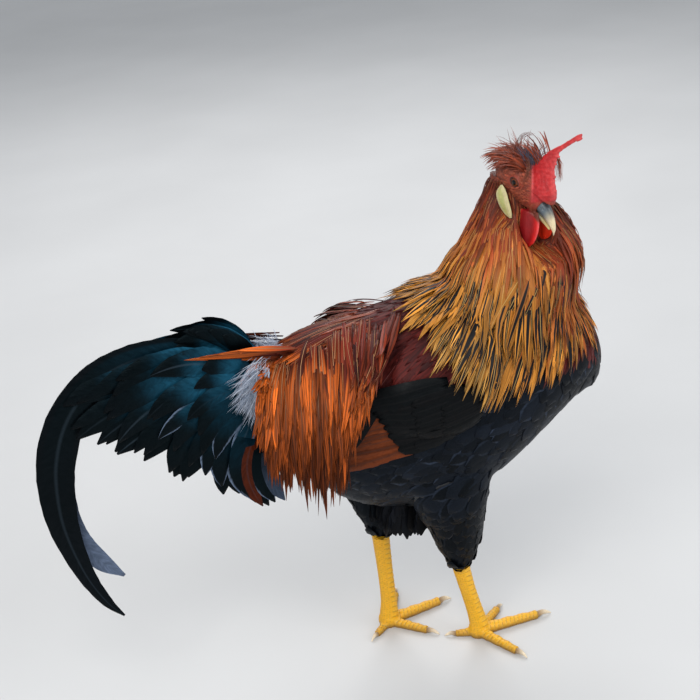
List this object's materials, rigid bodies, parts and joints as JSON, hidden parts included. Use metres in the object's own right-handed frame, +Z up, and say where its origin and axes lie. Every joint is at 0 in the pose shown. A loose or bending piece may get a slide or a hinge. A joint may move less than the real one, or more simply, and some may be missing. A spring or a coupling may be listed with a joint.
{
  "type": "leghorn rooster model",
  "caption": "Life-size standing leghorn rooster with a cape of golden hackles, a full dark tail with long sickles, red comb and wattles and yellow legs.",
  "frame": {"origin": "middle of the bottom of the bird's box, on the floor under the feet", "axes": "+X towards the breast, +Y to the bird's left, +Z up"},
  "size_m": [0.5236, 0.1717, 0.4937],
  "materials": {
    "hackle_feathers": "glossy lanceolate feathers, red-brown at the nape to golden with dark centres at the tips",
    "saddle_feathers": "long orange-brown feathers with pale shafts",
    "wing_feathers": "dark maroon bow with a soft sheen, black-green bar and brown bay",
    "breast_feathers": "blue-black feathers with a slate sheen",
    "tail_feathers": "black feathers with a green and teal sheen",
    "face_skin": "reddish skin under short brown feathers",
    "red_flesh": "soft red skin with a grainy surface",
    "earlobes": "smooth cream skin",
    "leg_skin": "yellow scuted skin with a little earth on the toes",
    "horn": "smooth horn, cream with a grey-blue base on the beak",
    "eyes": "dark brown, wet and clear"
  },
  "bodies": {
    "root": {"torso": "breast_feathers", "saddle": "saddle_feathers", "neck": "hackle_feathers", "head": "face_skin", "crest": "hackle_feathers", "comb": "red_flesh", "beak_upper": "horn", "beak_lower": "horn", "eye_right": "eyes", "eye_left": "eyes", "earlobe_right": "earlobes", "earlobe_left": "earlobes", "wattle_right": "red_flesh", "wattle_left": "red_flesh", "wing_right": "wing_feathers", "wing_left": "wing_feathers", "thigh_right": "breast_feathers", "thigh_left": "breast_feathers", "shank_right": "leg_skin", "shank_left": "leg_skin", "foot_right": "leg_skin", "foot_left": "leg_skin", "claw_inner_right": "horn", "claw_middle_right": "horn", "claw_outer_right": "horn", "claw_back_right": "horn", "claw_inner_left": "horn", "claw_middle_left": "horn", "claw_outer_left": "horn", "claw_back_left": "horn", "tail": "tail_feathers", "sickle_right_1": "tail_feathers", "sickle_right_2": "tail_feathers", "sickle_right_3": "tail_feathers", "sickle_left_1": "tail_feathers", "sickle_left_2": "tail_feathers", "sickle_left_3": "tail_feathers"}
  },
  "joints": []
}
